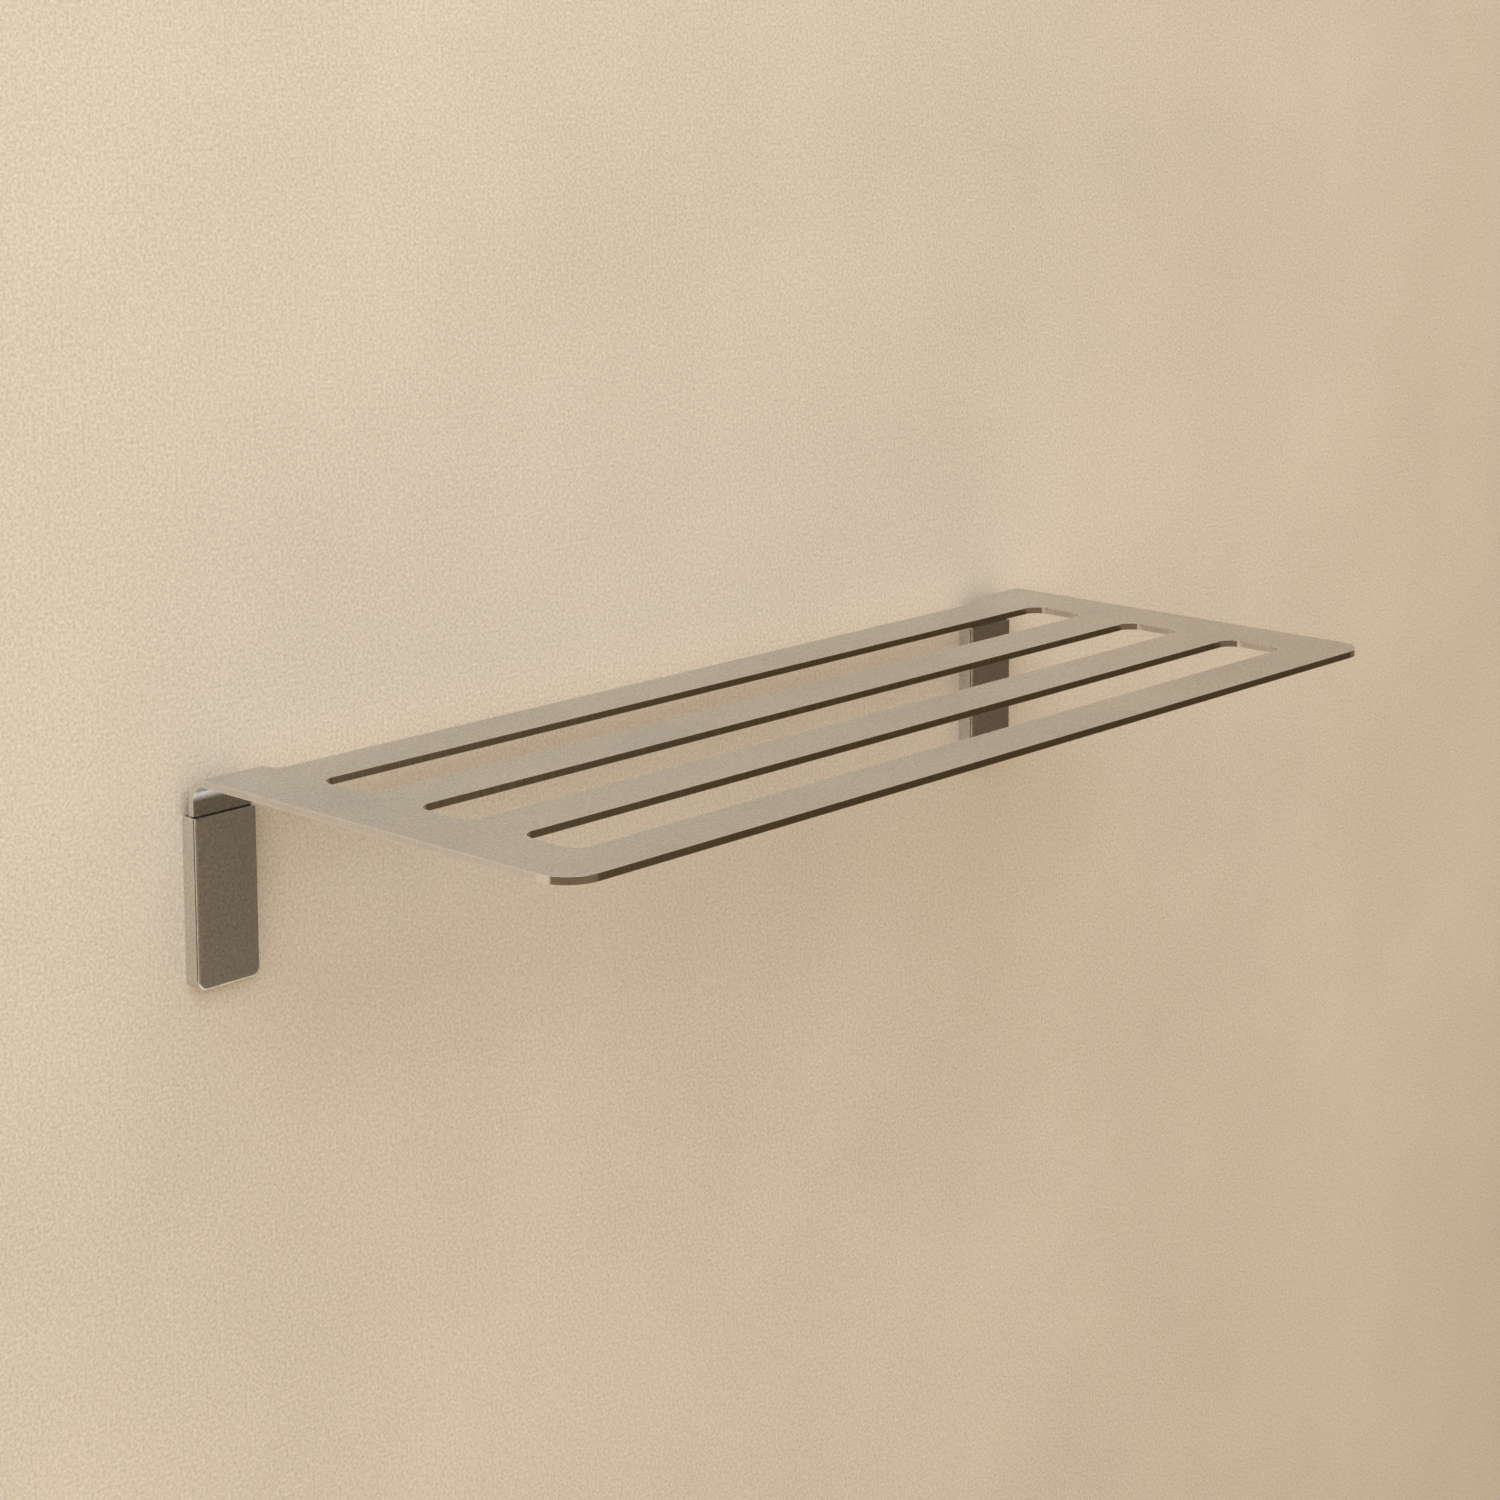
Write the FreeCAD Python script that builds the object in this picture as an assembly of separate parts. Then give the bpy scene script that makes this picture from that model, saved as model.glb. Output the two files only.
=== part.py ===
import FreeCAD, Part
import math
import os

# Wall towel rack: a slotted metal shelf whose two rear tabs bend down to the wall.
# Each tab ends in a tongue that is screwed to a wall plate, and a slim cover slides
# up over both from below. A small screw in its underside holds each cover.
#
# Frame, in millimetres: +X to the right, +Y into the wall, +Z up. The origin lies on
# the wall plane, at the centre of the four wall screws.

# Driving dimensions of the shelf
SHELF_LENGTH = 600.0
SHEET = 3.5
BAR_COUNT = 4
BAR_WIDTH = 31.2
SLOT_WIDTH = 35.7
REAR_GAP = 24.8
FRONT_CORNER_R = 18.0
SLOT_CORNER_R = 8.5
BEND_OUTER_R = 12.0

# Driving dimensions of the two covers, which also set the width of the tabs
COVER_WIDTH = 35.2
COVER_HEIGHT = 81.9
COVER_DEPTH = 10.2
COVER_WALL = 1.0
COVER_BASE = 2.2
COVER_LOW_CORNER_R = 4.5
COVER_EDGE_R = 0.8
COVER_LIP = 1.2
COVER_TOP_Z = 39.0
SHELF_RISE = 19.6
BASE_GAP = 0.3

# Driving dimensions of the wall plates
WALL_PLATE_THICKNESS = 5.5
SLIDE_CLEARANCE = 0.15
SHADOW_GAP = 1.0
WALL_SCREW_PITCH = 50.0
CLAMP_SCREW_PITCH = 26.0

# Fasteners
CLEARANCE = 0.05
WALL_SCREW_R = 2.25
WALL_SCREW_HEAD_R = 4.2
WALL_SCREW_LENGTH = 50.0
WALL_SCREW_POINT = 5.0
PLUG_R = 4.0
PLUG_LENGTH = 40.0
PLUG_GROOVE_COUNT = 8
PLUG_GROOVE_PITCH = 4.0
PLUG_GROOVE_START = 6.8
PLUG_GROOVE_WIDTH = 1.2
PLUG_GROOVE_DEPTH = 0.5
CLAMP_SCREW_R = 2.0
CLAMP_SCREW_HEAD_R = 3.8
CLAMP_SCREW_LENGTH = 8.0
COVER_SCREW_R = 1.5
COVER_SCREW_HEAD_R = 2.75
COVER_SCREW_LENGTH = 8.0
COVER_SCREW_SEAT = 0.2
HEX_SOCKET_RATIO = 0.62
SOCKET_DEPTH_RATIO = 0.9
CROSS_LENGTH_RATIO = 1.2
CROSS_WIDTH_RATIO = 0.28
POINT_BLUNTNESS = 0.15

# Places that follow from the driving dimensions
SIDE = {"left": -1.0, "right": 1.0}
SHOULDER_Z = COVER_TOP_Z + SHADOW_GAP
SHELF_TOP_Z = COVER_TOP_Z + SHELF_RISE
SHELF_BOTTOM_Z = SHELF_TOP_Z - SHEET
COVER_CENTRE_X = (SHELF_LENGTH - COVER_WIDTH) / 2
COVER_BOTTOM_Z = COVER_TOP_Z - COVER_HEIGHT
LEG_BACK_Y = -WALL_PLATE_THICKNESS
LEG_FRONT_Y = LEG_BACK_Y - SHEET
BEND_START_Y = LEG_BACK_Y - BEND_OUTER_R
BEND_END_Z = SHELF_TOP_Z - BEND_OUTER_R
BEND_INNER_R = BEND_OUTER_R - SHEET
SHELF_FRONT_Y = -(REAR_GAP + BAR_COUNT * BAR_WIDTH + (BAR_COUNT - 1) * SLOT_WIDTH)
SLOT_HALF_LENGTH = SHELF_LENGTH / 2 - COVER_WIDTH
NOTCH_R = REAR_GAP + BEND_START_Y
TONGUE_WIDTH = 30.0
TONGUE_BOTTOM_Z = -34.0
TONGUE_CORNER_R = 4.0
TONGUE_ROOT_R = 0.8
WALL_PLATE_WIDTH = COVER_WIDTH - 2 * (COVER_WALL + SLIDE_CLEARANCE)
WALL_PLATE_BOTTOM_Z = COVER_BOTTOM_Z + COVER_BASE + BASE_GAP
WALL_PLATE_CORNER_R = COVER_LOW_CORNER_R - COVER_WALL
REBATE_DEPTH = COVER_WALL + SLIDE_CLEARANCE
REBATE_WIDTH = COVER_LIP + SLIDE_CLEARANCE
COVER_SCREW_Y = -3.0
UP = FreeCAD.Vector(0, 0, 1)
INTO_WALL = FreeCAD.Vector(0, 1, 0)


def vec(x, y, z):
    return FreeCAD.Vector(x, y, z)


def slab(x, y, z):
    """Box between two limits on each axis."""
    return Part.makeBox(x[1] - x[0], y[1] - y[0], z[1] - z[0], vec(x[0], y[0], z[0]))


def fillet_edges(solid, radius, chosen):
    """Round the edges whose middle point passes the test."""
    edges = [edge for edge in solid.Edges if chosen(edge, edge.CenterOfMass)]
    return solid.makeFillet(radius, edges)


def is_along(edge, axis):
    """True for a straight edge that runs along the given axis."""
    if not isinstance(edge.Curve, Part.Line):
        return False
    return abs(edge.Curve.Direction.dot(axis)) > 0.999


def is_at(value, target):
    return abs(value - target) < 0.01


def countersunk_form(start, axis, shank_r, head_r, length):
    """Shank and 90 degree head in one, from the head's flat top."""
    shank = Part.makeCylinder(shank_r, length, start, axis)
    head = Part.makeCone(head_r, shank_r, head_r - shank_r, start, axis)
    return shank.fuse(head)


def hex_socket(start, axis, shank_r, depth):
    """Hexagonal recess for the key, cut from the head's top."""
    across = shank_r * HEX_SOCKET_RATIO * 2
    corner = across / math.sqrt(3)
    # The first direction only has to lie square to the axis.
    side = vec(1, 0, 0)
    other = axis.cross(side)
    points = []
    for index in range(7):
        turn = math.radians(60 * index)
        points.append(start + side * (corner * math.cos(turn)) + other * (corner * math.sin(turn)))
    return Part.Face(Part.makePolygon(points)).extrude(axis * depth)


def machine_screw(start, axis, shank_r, head_r, length):
    """Countersunk screw with a hexagonal socket."""
    body = countersunk_form(start, axis, shank_r, head_r, length)
    socket_depth = (head_r - shank_r) * SOCKET_DEPTH_RATIO
    return body.cut(hex_socket(start, axis, shank_r, socket_depth)).removeSplitter()


def wood_screw(start, axis, shank_r, head_r, length, point):
    """Countersunk screw with a cross recess and a tapered point."""
    body = countersunk_form(start, axis, shank_r, head_r, length - point)
    tip = Part.makeCone(
        shank_r, shank_r * POINT_BLUNTNESS, point, start + axis * (length - point), axis)
    body = body.fuse(tip)
    wing = head_r * CROSS_LENGTH_RATIO / 2
    thin = head_r * CROSS_WIDTH_RATIO / 2
    depth = (start.y, start.y + head_r - shank_r)
    for half_x, half_z in ((wing, thin), (thin, wing)):
        body = body.cut(slab(
            (start.x - half_x, start.x + half_x), depth, (start.z - half_z, start.z + half_z)))
    return body.removeSplitter()


def wall_screw_heights():
    return {"upper": WALL_SCREW_PITCH / 2, "lower": -WALL_SCREW_PITCH / 2}


def clamp_screw_heights():
    return {"upper": CLAMP_SCREW_PITCH / 2, "lower": -CLAMP_SCREW_PITCH / 2}


def shelf_outline():
    """Flat shelf with rounded front corners and the two tabs up to where they bend."""
    half = SHELF_LENGTH / 2
    plate = slab((-half, half), (SHELF_FRONT_Y, -REAR_GAP), (SHELF_BOTTOM_Z, SHELF_TOP_Z))
    for sign in SIDE.values():
        tab_x = sorted((sign * half, sign * SLOT_HALF_LENGTH))
        plate = plate.fuse(slab(tab_x, (-REAR_GAP, BEND_START_Y), (SHELF_BOTTOM_Z, SHELF_TOP_Z)))
        corner_x = sorted((sign * SLOT_HALF_LENGTH, sign * (SLOT_HALF_LENGTH - NOTCH_R)))
        web = slab(corner_x, (-REAR_GAP, BEND_START_Y), (SHELF_BOTTOM_Z, SHELF_TOP_Z))
        relief_centre = vec(sign * (SLOT_HALF_LENGTH - NOTCH_R), BEND_START_Y, SHELF_BOTTOM_Z)
        plate = plate.fuse(web.cut(Part.makeCylinder(NOTCH_R, SHEET, relief_centre)))
    plate = plate.removeSplitter()
    return fillet_edges(
        plate, FRONT_CORNER_R,
        lambda edge, middle: is_along(edge, UP) and is_at(middle.y, SHELF_FRONT_Y))


def shelf_slot(index):
    """One long opening between two bars, counted from the wall."""
    rear = -(REAR_GAP + BAR_WIDTH + index * (BAR_WIDTH + SLOT_WIDTH))
    block = slab(
        (-SLOT_HALF_LENGTH, SLOT_HALF_LENGTH), (rear - SLOT_WIDTH, rear),
        (SHELF_BOTTOM_Z, SHELF_TOP_Z))
    return fillet_edges(block, SLOT_CORNER_R, lambda edge, middle: is_along(edge, UP))


def shelf_bend(sign):
    """Quarter bend of a tab, from level to upright."""
    centre = vec(sign * COVER_CENTRE_X - COVER_WIDTH / 2, BEND_START_Y, BEND_END_Z)
    across = vec(1, 0, 0)
    outer = Part.makeCylinder(BEND_OUTER_R, COVER_WIDTH, centre, across)
    inner = Part.makeCylinder(BEND_INNER_R, COVER_WIDTH, centre, across)
    quarter = Part.makeBox(COVER_WIDTH, BEND_OUTER_R, BEND_OUTER_R, centre)
    return outer.cut(inner).common(quarter)


def shelf_leg(sign):
    """Short upright leg, its shoulders, and the narrower tongue behind the cover."""
    centre_x = sign * COVER_CENTRE_X
    leg_x = (centre_x - COVER_WIDTH / 2, centre_x + COVER_WIDTH / 2)
    tongue_x = (centre_x - TONGUE_WIDTH / 2, centre_x + TONGUE_WIDTH / 2)
    leg = slab(leg_x, (LEG_FRONT_Y, LEG_BACK_Y), (SHOULDER_Z, BEND_END_Z))
    tongue = slab(tongue_x, (LEG_FRONT_Y, LEG_BACK_Y), (TONGUE_BOTTOM_Z, SHOULDER_Z))
    leg = leg.fuse(tongue).removeSplitter()
    leg = fillet_edges(
        leg, TONGUE_CORNER_R,
        lambda edge, middle: is_along(edge, INTO_WALL) and is_at(middle.z, TONGUE_BOTTOM_Z))
    leg = fillet_edges(
        leg, TONGUE_ROOT_R,
        lambda edge, middle: is_along(edge, INTO_WALL) and is_at(middle.z, SHOULDER_Z)
        and is_at(abs(middle.x - centre_x), TONGUE_WIDTH / 2))
    for height in clamp_screw_heights().values():
        start = vec(centre_x, LEG_FRONT_Y, height)
        leg = leg.cut(countersunk_form(
            start, INTO_WALL, CLAMP_SCREW_R + CLEARANCE, CLAMP_SCREW_HEAD_R + CLEARANCE, SHEET))
    return leg


def shelf_panel():
    panel = shelf_outline()
    for index in range(BAR_COUNT - 1):
        panel = panel.cut(shelf_slot(index))
    for sign in SIDE.values():
        panel = panel.fuse(shelf_bend(sign))
        panel = panel.fuse(shelf_leg(sign))
    return panel.removeSplitter()


def wall_plate(sign):
    """Thick plate on the wall, rebated at its back edges for the cover's lips."""
    centre_x = sign * COVER_CENTRE_X
    half = WALL_PLATE_WIDTH / 2
    plate = slab(
        (centre_x - half, centre_x + half), (LEG_BACK_Y, 0), (WALL_PLATE_BOTTOM_Z, COVER_TOP_Z))
    plate = fillet_edges(
        plate, WALL_PLATE_CORNER_R,
        lambda edge, middle: is_along(edge, INTO_WALL) and is_at(middle.z, WALL_PLATE_BOTTOM_Z))
    for edge_sign in SIDE.values():
        edge_x = sorted((centre_x + edge_sign * half, centre_x + edge_sign * (half - REBATE_WIDTH)))
        plate = plate.cut(slab(edge_x, (-REBATE_DEPTH, 0), (WALL_PLATE_BOTTOM_Z, COVER_TOP_Z)))
    for height in wall_screw_heights().values():
        plate = plate.cut(countersunk_form(
            vec(centre_x, LEG_BACK_Y, height), INTO_WALL,
            WALL_SCREW_R + CLEARANCE, WALL_SCREW_HEAD_R + CLEARANCE, WALL_PLATE_THICKNESS))
    for height in clamp_screw_heights().values():
        plate = plate.cut(Part.makeCylinder(
            CLAMP_SCREW_R + CLEARANCE, WALL_PLATE_THICKNESS,
            vec(centre_x, LEG_BACK_Y, height), INTO_WALL))
    thread = Part.makeCylinder(
        COVER_SCREW_R + CLEARANCE, COVER_SCREW_LENGTH,
        vec(centre_x, COVER_SCREW_Y, WALL_PLATE_BOTTOM_Z), UP)
    return plate.cut(thread)


def cover(sign):
    """Slim case, open at the top and the back, that hides the tongue and wall plate."""
    centre_x = sign * COVER_CENTRE_X
    half = COVER_WIDTH / 2
    shell = slab((centre_x - half, centre_x + half), (-COVER_DEPTH, 0), (COVER_BOTTOM_Z, COVER_TOP_Z))
    shell = fillet_edges(
        shell, COVER_LOW_CORNER_R,
        lambda edge, middle: is_along(edge, INTO_WALL) and is_at(middle.z, COVER_BOTTOM_Z))
    shell = fillet_edges(
        shell, COVER_EDGE_R,
        lambda edge, middle: is_at(middle.y, -COVER_DEPTH) and not is_at(middle.z, COVER_TOP_Z))
    inner = slab(
        (centre_x - half + COVER_WALL, centre_x + half - COVER_WALL),
        (-COVER_DEPTH + COVER_WALL, 0), (COVER_BOTTOM_Z + COVER_BASE, COVER_TOP_Z))
    inner = fillet_edges(
        inner, COVER_LOW_CORNER_R - COVER_WALL,
        lambda edge, middle: is_along(edge, INTO_WALL) and is_at(middle.z, COVER_BOTTOM_Z + COVER_BASE))
    shell = shell.cut(inner)
    lip_bottom_z = COVER_BOTTOM_Z + COVER_LOW_CORNER_R + COVER_BASE
    for edge_sign in SIDE.values():
        wall_x = centre_x + edge_sign * (half - COVER_WALL)
        lip_x = sorted((wall_x, wall_x - edge_sign * COVER_LIP))
        shell = shell.fuse(slab(lip_x, (-COVER_WALL, 0), (lip_bottom_z, COVER_TOP_Z)))
    start = vec(centre_x, COVER_SCREW_Y, COVER_BOTTOM_Z)
    seat = countersunk_form(
        start, UP, COVER_SCREW_R + COVER_SCREW_SEAT, COVER_SCREW_HEAD_R + COVER_SCREW_SEAT,
        COVER_BASE)
    return shell.cut(seat).removeSplitter()


def wall_plug(sign, height):
    """Nylon plug for an 8 mm hole, grooved outside and bored for its screw."""
    start = vec(sign * COVER_CENTRE_X, 0, height)
    plug = Part.makeCylinder(PLUG_R, PLUG_LENGTH, start, INTO_WALL)
    plug = plug.cut(Part.makeCylinder(WALL_SCREW_R + CLEARANCE, PLUG_LENGTH, start, INTO_WALL))
    for index in range(PLUG_GROOVE_COUNT):
        ring_start = start + INTO_WALL * (PLUG_GROOVE_START + index * PLUG_GROOVE_PITCH)
        ring = Part.makeCylinder(PLUG_R, PLUG_GROOVE_WIDTH, ring_start, INTO_WALL)
        core = Part.makeCylinder(
            PLUG_R - PLUG_GROOVE_DEPTH, PLUG_GROOVE_WIDTH, ring_start, INTO_WALL)
        plug = plug.cut(ring.cut(core))
    return plug


def save(name, shape):
    """Write one node after checking that it is sound."""
    if not shape.isValid():
        raise ValueError(name + " is not a valid solid")
    print(name, "solids", len(shape.Solids), "volume", round(shape.Volume, 1))
    shape.exportStep("parts/" + name + ".step")


os.makedirs("parts", exist_ok=True)
save("shelf_panel", shelf_panel())
for side, sign in SIDE.items():
    centre_x = sign * COVER_CENTRE_X
    save(side + "_wall_plate", wall_plate(sign))
    save(side + "_cover", cover(sign))
    cover_screw_start = vec(centre_x, COVER_SCREW_Y, COVER_BOTTOM_Z)
    save(side + "_cover_screw", machine_screw(
        cover_screw_start, UP, COVER_SCREW_R, COVER_SCREW_HEAD_R, COVER_SCREW_LENGTH))
    for level, height in wall_screw_heights().items():
        save(side + "_" + level + "_wall_screw", wood_screw(
            vec(centre_x, LEG_BACK_Y, height), INTO_WALL, WALL_SCREW_R, WALL_SCREW_HEAD_R,
            WALL_SCREW_LENGTH, WALL_SCREW_POINT))
        save(side + "_" + level + "_wall_plug", wall_plug(sign, height))
    for level, height in clamp_screw_heights().items():
        save(side + "_" + level + "_clamp_screw", machine_screw(
            vec(centre_x, LEG_FRONT_Y, height), INTO_WALL, CLAMP_SCREW_R, CLAMP_SCREW_HEAD_R,
            CLAMP_SCREW_LENGTH))
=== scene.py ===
import math

import bmesh
import bpy
from mathutils import Matrix, Vector


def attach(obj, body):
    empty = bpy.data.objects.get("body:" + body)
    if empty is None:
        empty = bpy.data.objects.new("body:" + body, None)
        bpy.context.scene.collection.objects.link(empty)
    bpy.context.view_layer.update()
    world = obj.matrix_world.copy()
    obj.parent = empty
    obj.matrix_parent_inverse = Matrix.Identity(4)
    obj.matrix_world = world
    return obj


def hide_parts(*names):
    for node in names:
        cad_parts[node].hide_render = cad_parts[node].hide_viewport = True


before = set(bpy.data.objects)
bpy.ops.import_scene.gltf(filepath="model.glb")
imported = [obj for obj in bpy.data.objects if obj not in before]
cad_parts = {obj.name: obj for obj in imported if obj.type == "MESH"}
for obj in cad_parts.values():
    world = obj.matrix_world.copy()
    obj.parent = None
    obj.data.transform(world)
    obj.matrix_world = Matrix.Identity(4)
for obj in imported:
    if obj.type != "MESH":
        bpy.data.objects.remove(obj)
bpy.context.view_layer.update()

# Wall towel rack: a slotted steel shelf on two wall plates, each behind a slim cover.
# Metres throughout. +X is to the right, +Y into the wall and +Z up, and the wall is at y = 0.

scene = bpy.context.scene


# ---------------------------------------------------------------------------------------
# Camera: a long lens in front of the rack and to its left, a little above the shelf.
# It looks slightly down with a shifted lens, so that the covers stand almost upright.
# ---------------------------------------------------------------------------------------
CAMERA_PLACE = Vector((-1.1668, -1.1668, 0.4304))
CAMERA_TURN_RIGHT = math.radians(47.012)
CAMERA_LOOK_DOWN = math.radians(7.479)
CAMERA_ROLL = math.radians(-0.208)
CAMERA_FILM_WIDTH = 36
CAMERA_LENS = 76.532
CAMERA_SHIFT_DOWN = 0.25

camera = bpy.data.objects.new("camera", bpy.data.cameras.new("camera"))
camera.data.sensor_width = CAMERA_FILM_WIDTH
camera.data.lens = CAMERA_LENS
camera.data.shift_y = -CAMERA_SHIFT_DOWN
camera.matrix_world = (
    Matrix.Translation(CAMERA_PLACE)
    @ Matrix.Rotation(-CAMERA_TURN_RIGHT, 4, "Z")
    @ Matrix.Rotation(math.radians(90) - CAMERA_LOOK_DOWN, 4, "X")
    @ Matrix.Rotation(CAMERA_ROLL, 4, "Z"))
scene.collection.objects.link(camera)
scene.camera = camera
scene.view_settings.view_transform = "Standard"


# ---------------------------------------------------------------------------------------
# Bathroom wall: flat mineral plaster, trowelled smooth and painted warm cream.
# It is left out from behind, so that the plates, plugs and screw ends show, and it stands a
# hair in front of the plates' backs, so that they are lit there.
# ---------------------------------------------------------------------------------------
MM = 0.001
FLOOR_HEIGHT = -0.9
WALL_TOP = 2.2
WALL_HALF_WIDTH = 3.5
WALL_PLACE = -0.05 * MM
PLASTER_LIGHT = (0.94, 0.865, 0.765, 1)
PLASTER_DEEP = (0.62, 0.565, 0.475, 1)
PLASTER_GRIT_SHARE = 0.82
PLASTER_RELIEF = 0.45 * MM


def start_material(name):
    """A material, its node tree and its surface shader."""
    material = bpy.data.materials.new(name)
    material.use_nodes = True
    tree = material.node_tree
    return material, tree, tree.nodes["Principled BSDF"]


def add_node(tree, kind, settings=None, sockets=None):
    """Add a node. Socket values are constants, or outputs to be joined."""
    node = tree.nodes.new(kind)
    for name, value in (settings or {}).items():
        setattr(node, name, value)
    for name, value in (sockets or {}).items():
        if isinstance(value, bpy.types.NodeSocket):
            tree.links.new(value, node.inputs[name])
        else:
            node.inputs[name].default_value = value
    return node


def object_coordinates(tree, stretch=(1, 1, 1)):
    """Place on the piece, with the pattern stretched along its axes."""
    place = add_node(tree, "ShaderNodeTexCoord")
    return add_node(tree, "ShaderNodeMapping", sockets={
        "Vector": place.outputs["Object"], "Scale": stretch}).outputs["Vector"]


def noise(tree, place, scale, detail=3.0, rough=0.5):
    """Cloudy pattern from 0 to 1, with that many features to the metre."""
    return add_node(tree, "ShaderNodeTexNoise", sockets={
        "Vector": place, "Scale": scale, "Detail": detail, "Roughness": rough}).outputs["Fac"]


def remap(tree, value, low, high, to_low, to_high):
    """Spread the range low to high over a new range, and clamp it."""
    return add_node(tree, "ShaderNodeMapRange", sockets={
        "Value": value, "From Min": low, "From Max": high,
        "To Min": to_low, "To Max": to_high}).outputs["Result"]


def calculate(tree, operation, first, second):
    """Sum, difference or product of two values."""
    return add_node(tree, "ShaderNodeMath", {"operation": operation}, {
        0: first, 1: second}).outputs["Value"]


def blend_values(tree, first, second, share):
    """Two values added together, with that share of the second."""
    return calculate(
        tree, "ADD", calculate(tree, "MULTIPLY", first, round(1 - share, 6)),
        calculate(tree, "MULTIPLY", second, share))


def mix_colours(tree, mask, first, second):
    """First colour where the mask is 0 and second where it is 1."""
    return add_node(tree, "ShaderNodeMix", {"data_type": "RGBA"}, {
        0: mask, 6: first, 7: second}).outputs[2]


def raise_surface(tree, shader, height, strength, distance):
    """Small relief from a height pattern."""
    bump = add_node(tree, "ShaderNodeBump", sockets={
        "Height": height, "Strength": strength, "Distance": distance})
    tree.links.new(bump.outputs["Normal"], shader.inputs["Normal"])


def leave_out_from_behind(tree, shader):
    """See-through where the back of the sheet is met."""
    facing = add_node(tree, "ShaderNodeNewGeometry")
    clear = add_node(tree, "ShaderNodeBsdfTransparent")
    choice = add_node(tree, "ShaderNodeMixShader", sockets={
        0: facing.outputs["Backfacing"], 1: shader.outputs["BSDF"], 2: clear.outputs["BSDF"]})
    output = tree.nodes["Material Output"]
    tree.links.new(choice.outputs["Shader"], output.inputs["Surface"])


def add_stage(name, bm, material):
    """Put a part of the room in the scene."""
    mesh = bpy.data.meshes.new(name)
    bm.to_mesh(mesh)
    bm.free()
    mesh.materials.append(material)
    stage = bpy.data.objects.new(name, mesh)
    scene.collection.objects.link(stage)
    return stage


plaster, tree, shader = start_material("painted_plaster")
place = object_coordinates(tree)
trowel = noise(tree, place, 5.0, 4.0, 0.55)
grit = noise(tree, place, 620.0, 4.0, 0.65)
pits = noise(tree, place, 260.0, 4.0, 0.6)
tone = blend_values(tree, trowel, grit, PLASTER_GRIT_SHARE)
plaster_colour = mix_colours(tree, remap(tree, tone, 0.34, 0.66, 0, 1), PLASTER_DEEP, PLASTER_LIGHT)
tree.links.new(plaster_colour, shader.inputs["Base Color"])
shader.inputs["Roughness"].default_value = 0.85
shader.inputs["Specular IOR Level"].default_value = 0.25
relief = blend_values(tree, grit, pits, 0.5)
raise_surface(tree, shader, relief, 0.5, PLASTER_RELIEF)
leave_out_from_behind(tree, shader)

bm = bmesh.new()
bmesh.ops.create_grid(bm, x_segments=1, y_segments=1, size=1)
bmesh.ops.scale(bm, verts=bm.verts, vec=(WALL_HALF_WIDTH, (WALL_TOP - FLOOR_HEIGHT) / 2, 1))
bmesh.ops.rotate(bm, verts=bm.verts, matrix=Matrix.Rotation(math.radians(90), 3, "X"))
bmesh.ops.translate(bm, verts=bm.verts, vec=(0, WALL_PLACE, (WALL_TOP + FLOOR_HEIGHT) / 2))
add_stage("bathroom_wall", bm, plaster)


# ---------------------------------------------------------------------------------------
# Floor: plain pale stone flooring, well below the rack. It throws light back up.
# ---------------------------------------------------------------------------------------
FLOOR_HALF_SIZE = 3.5
FLOOR_PALE = (0.80, 0.78, 0.73, 1)
FLOOR_SHADE = (0.74, 0.71, 0.66, 1)

flooring, tree, shader = start_material("pale_floor")
place = object_coordinates(tree)
cloud = noise(tree, place, 3.0, 4.0)
speck = noise(tree, place, 240.0, 2.0)
floor_colour = mix_colours(tree, remap(tree, cloud, 0.35, 0.65, 0, 1), FLOOR_PALE, FLOOR_SHADE)
tree.links.new(floor_colour, shader.inputs["Base Color"])
tree.links.new(remap(tree, speck, 0.3, 0.7, 0.5, 0.65), shader.inputs["Roughness"])
leave_out_from_behind(tree, shader)

bm = bmesh.new()
bmesh.ops.create_grid(bm, x_segments=1, y_segments=1, size=FLOOR_HALF_SIZE)
bmesh.ops.translate(bm, verts=bm.verts, vec=(0, 0, FLOOR_HEIGHT))
floor = add_stage("floor", bm, flooring)
floor.visible_glossy = False


# ---------------------------------------------------------------------------------------
# Light: a broad cool lamp high in front, a softer one from the left and a faint warm one from
# the right. The metal mirrors a pale room with a bright floor. The room's far walls are brown,
# with one darker place in front on the right.
# ---------------------------------------------------------------------------------------
RACK_MIDDLE = Vector((0, -0.12, 0))
ROOM_FILL = (0.50, 0.38, 0.245, 1)
ROOM_PALE = (0.56, 0.50, 0.42, 1)
ROOM_BROWN = (0.180, 0.130, 0.075, 1)
ROOM_FLOOR = (1.0, 0.92, 0.80, 1)
ROOM_DARK = (0.072, 0.044, 0.018, 1)
ROOM_BACKGROUND = (0.62, 0.58, 0.52, 1)
DARK_SIDE = Vector((0.765, -0.596, -0.245)).normalized()


def add_soft_lamp(name, place, width, height, power, colour):
    """A rectangular lamp turned towards the rack."""
    lamp = bpy.data.lights.new(name, "AREA")
    lamp.shape = "RECTANGLE"
    lamp.size = width
    lamp.size_y = height
    lamp.energy = power
    lamp.color = colour
    stand = bpy.data.objects.new(name, lamp)
    stand.location = place
    stand.rotation_euler = (Vector(place) - RACK_MIDDLE).to_track_quat("Z", "Y").to_euler()
    scene.collection.objects.link(stand)
    return stand


add_soft_lamp("key_lamp", (-0.70, -1.90, 1.70), 2.1, 1.6, 29, (0.84, 0.93, 1.0))
add_soft_lamp("left_lamp", (-2.30, -1.10, 0.80), 1.4, 1.6, 13, (1.0, 0.96, 0.91))
warm_lamp = add_soft_lamp("warm_lamp", (1.9, -1.7, 0.6), 1.6, 1.6, 3, (1.0, 0.80, 0.62))
warm_lamp.visible_glossy = False

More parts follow.
